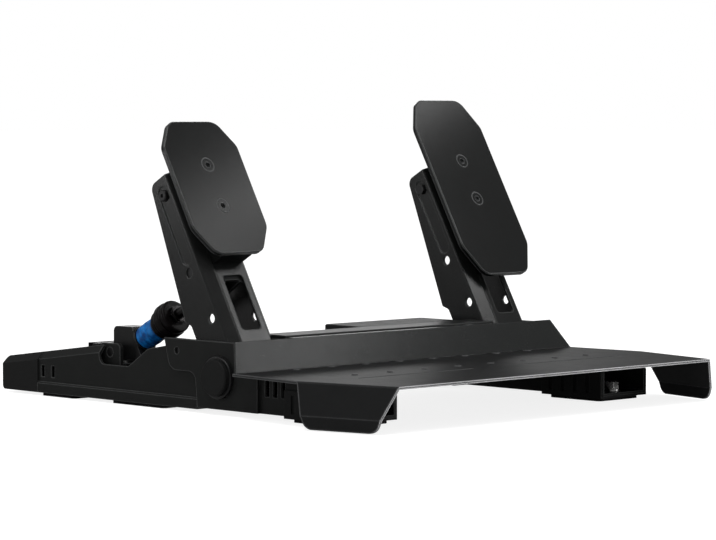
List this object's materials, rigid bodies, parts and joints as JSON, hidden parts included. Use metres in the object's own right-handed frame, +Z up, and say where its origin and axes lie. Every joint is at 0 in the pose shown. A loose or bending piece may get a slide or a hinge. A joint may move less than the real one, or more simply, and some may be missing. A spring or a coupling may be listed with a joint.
{
  "type": "racing simulator pedal set",
  "caption": "Floor-standing simulator pedals: a load-cell brake and a sprung throttle on folded steel rails, joined by a heel plate and a sloped panel.",
  "frame": {"origin": "on the floor under the middle of the set's bounding box", "axes": "+X to the driver's right, +Y away from the driver along the rails, +Z up"},
  "size_m": [0.3716, 0.428, 0.2208],
  "materials": {
    "aluminium": "machined",
    "black_aluminium": "black anodised",
    "black_plastic": "fine-grained moulded plastic",
    "black_screws": "black oxide",
    "blue_elastomer": "smooth translucent-looking polyurethane",
    "bright_steel": "zinc plated",
    "bronze": "sintered bronze",
    "circuit_board": "solder mask",
    "face_coat": "satin black coat on flat plate",
    "panel_coat": "satin black powder coat",
    "powder_coat": "satin fine-textured black powder coat",
    "rubber_pad": "matt rubber",
    "spring_steel": "oiled spring wire",
    "strut_rubber": "smooth dense rubber"
  },
  "bodies": {
    "base": {"beam_studs": "bright_steel", "brake_cheek": "powder_coat", "brake_rail": "powder_coat", "brake_tray": "powder_coat", "cell_clamp": "black_aluminium", "cell_seat": "black_aluminium", "clamp_bolts": "black_screws", "controller_board": "circuit_board", "controller_box": "black_plastic", "controller_lid": "black_plastic", "cross_beam": "powder_coat", "ear_screws": "black_screws", "end_caps": "black_plastic", "front_feet": "black_plastic", "front_panel": "panel_coat", "heel_plate": "powder_coat", "housing_screws": "black_screws", "inner_bearing_rings": "black_screws", "load_cell": "aluminium", "pivot_bushes": "bronze", "pivot_caps": "black_plastic", "pivot_collars": "black_screws", "plate_studs": "bright_steel", "rear_covers": "black_plastic", "rubber_pads": "rubber_pad", "sensor_board": "circuit_board", "sensor_housing": "black_plastic", "socket_block": "black_plastic", "stop_pins": "black_screws", "stop_sleeves": "rubber_pad", "throttle_cheek": "powder_coat", "throttle_rail": "powder_coat", "throttle_spring": "spring_steel", "throttle_tray": "powder_coat", "trunnion_ears": "powder_coat"},
    "brake_pedal": {"brake_arm": "powder_coat", "brake_axle": "bright_steel", "brake_pivot_sleeve": "bright_steel", "brake_arm_bolt": "black_screws", "brake_spacer": "black_plastic", "brake_face_plate": "face_coat", "brake_face_screws": "black_screws", "brake_cross_pin": "black_screws", "strut_lug": "powder_coat", "strut_pin": "bright_steel"},
    "throttle_pedal": {"throttle_arm": "powder_coat", "throttle_axle": "bright_steel", "throttle_pivot_sleeve": "bright_steel", "throttle_arm_bolt": "black_screws", "throttle_spacer": "black_plastic", "throttle_face_plate": "face_coat", "throttle_face_screws": "black_screws", "sensor_magnet": "bright_steel"},
    "strut_base": {"strut_barrel": "black_aluminium", "strut_rear_washer": "black_screws", "brake_elastomer": "blue_elastomer"},
    "strut_slider": {"strut_rod": "bright_steel", "strut_front_washer": "black_screws", "strut_rings": "strut_rubber", "rod_clip": "bright_steel"}
  },
  "joints": [
    {"name": "brake_travel", "type": "hinge", "parent": "base", "child": "brake_pedal", "pos_m": [-0.13075, -0.034, 0.0265], "axis": [-1, 0, 0], "range_deg": [0, 5], "stiffness_Nm_per_rad": 250, "springref_deg": -1.72},
    {"name": "throttle_travel", "type": "hinge", "parent": "base", "child": "throttle_pedal", "pos_m": [0.13075, -0.034, 0.0265], "axis": [-1, 0, 0], "range_deg": [0, 17], "stiffness_Nm_per_rad": 8, "springref_deg": -11.46, "deforming": ["throttle_spring"]},
    {"name": "strut_tilt", "type": "hinge", "parent": "base", "child": "strut_base", "pos_m": [-0.13075, 0.097, 0.0365], "axis": [1, 0, 0], "range_deg": [0, 0.49]},
    {"name": "strut_stroke", "type": "slide", "parent": "strut_base", "child": "strut_slider", "axis": [0, 0.8877, -0.4605], "range_m": [0, 0.0061], "deforming": ["brake_elastomer"]}
  ],
  "couplings": [
    {"joint": "strut_tilt", "follows": "brake_travel", "ratio": 0.0942},
    {"joint": "strut_stroke", "follows": "brake_travel", "m_per_rad": 0.0688}
  ]
}
